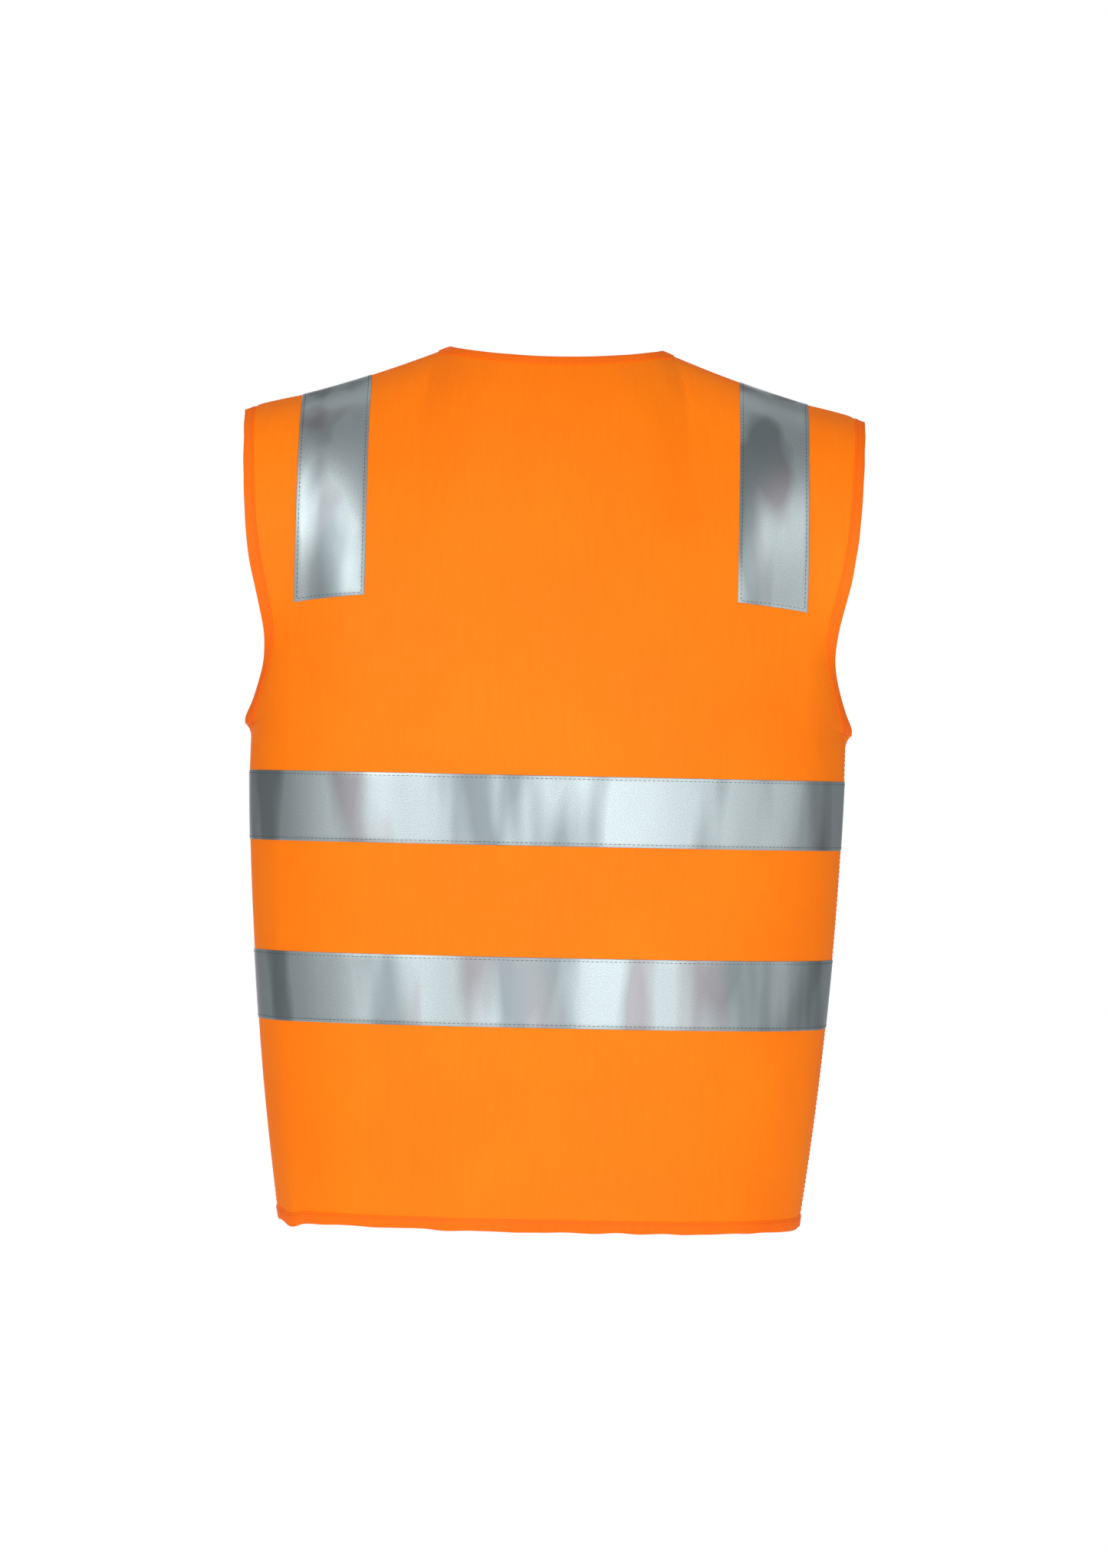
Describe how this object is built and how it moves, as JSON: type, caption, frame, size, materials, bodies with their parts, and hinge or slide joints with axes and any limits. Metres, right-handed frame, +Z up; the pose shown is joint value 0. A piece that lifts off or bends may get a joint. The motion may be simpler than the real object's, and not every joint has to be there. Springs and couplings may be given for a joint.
{
  "type": "high visibility vest",
  "caption": "Sleeveless high visibility vest with a V neck, an open front zip, bound edges, and reflective tape round the body and over the shoulders.",
  "frame": {"origin": "centre of the neck opening, level with the points where the shoulder seams meet the neck", "axes": "+Z up as worn, -Y the way the wearer faces, so +X is the wearer's left"},
  "size_m": [0.4508, 0.273, 0.6349],
  "materials": {
    "orange_fabric": "smooth knitted polyester, fluorescent orange",
    "orange_binding": "folded polyester binding",
    "reflective_tape": "retroreflective silver, matt and grainy",
    "zip_tape": "woven polyester",
    "zip_plastic": "moulded",
    "zip_metal": "lacquered zinc",
    "label": "plain woven, blank"
  },
  "bodies": {
    "back": {"back_panel": "orange_fabric", "lower_back_tape": "reflective_tape", "upper_back_tape": "reflective_tape", "left_shoulder_tape_back": "reflective_tape", "right_shoulder_tape_back": "reflective_tape", "back_neck_binding": "orange_binding", "back_hem_binding": "orange_binding", "left_armhole_binding_back": "orange_binding", "right_armhole_binding_back": "orange_binding", "size_label": "label", "care_label": "label"},
    "left_front": {"left_front_panel": "orange_fabric", "left_lower_front_tape": "reflective_tape", "left_upper_front_tape": "reflective_tape", "left_shoulder_tape_front": "reflective_tape", "left_front_neck_binding": "orange_binding", "left_front_hem_binding": "orange_binding", "left_armhole_binding_front": "orange_binding", "left_zip_tape": "zip_tape", "left_zip_teeth": "zip_plastic", "left_top_stop": "zip_plastic", "insertion_pin": "zip_plastic"},
    "right_front": {"right_front_panel": "orange_fabric", "right_lower_front_tape": "reflective_tape", "right_upper_front_tape": "reflective_tape", "right_shoulder_tape_front": "reflective_tape", "right_front_neck_binding": "orange_binding", "right_front_hem_binding": "orange_binding", "right_armhole_binding_front": "orange_binding", "right_zip_tape": "zip_tape", "right_zip_teeth": "zip_plastic", "right_top_stop": "zip_plastic", "retainer_pin": "zip_plastic", "retainer_box": "zip_plastic"},
    "zip_slider": {"slider_body": "zip_metal"},
    "zip_pull": {"pull_tab": "zip_metal"}
  },
  "joints": [
    {"name": "left_front_swing", "type": "hinge", "parent": "back", "child": "left_front", "pos_m": [0.217, 0, -0.275], "axis": [0.0754, 0, 0.9972], "range_deg": [0, 45], "stiffness_Nm_per_rad": 0.1, "springref_deg": -5.73},
    {"name": "right_front_swing", "type": "hinge", "parent": "back", "child": "right_front", "pos_m": [-0.217, 0, -0.275], "axis": [0.0754, 0, -0.9972], "range_deg": [0, 45], "stiffness_Nm_per_rad": 0.1, "springref_deg": -5.73},
    {"name": "slider_run", "type": "slide", "parent": "right_front", "child": "zip_slider", "axis": [0, 0, 1], "range_m": [0, 0.3531]},
    {"name": "pull_swing", "type": "hinge", "parent": "zip_slider", "child": "zip_pull", "pos_m": [-0.0026, -0.14314, -0.6052], "axis": [-1, 0, 0], "range_deg": [0, 165]}
  ]
}
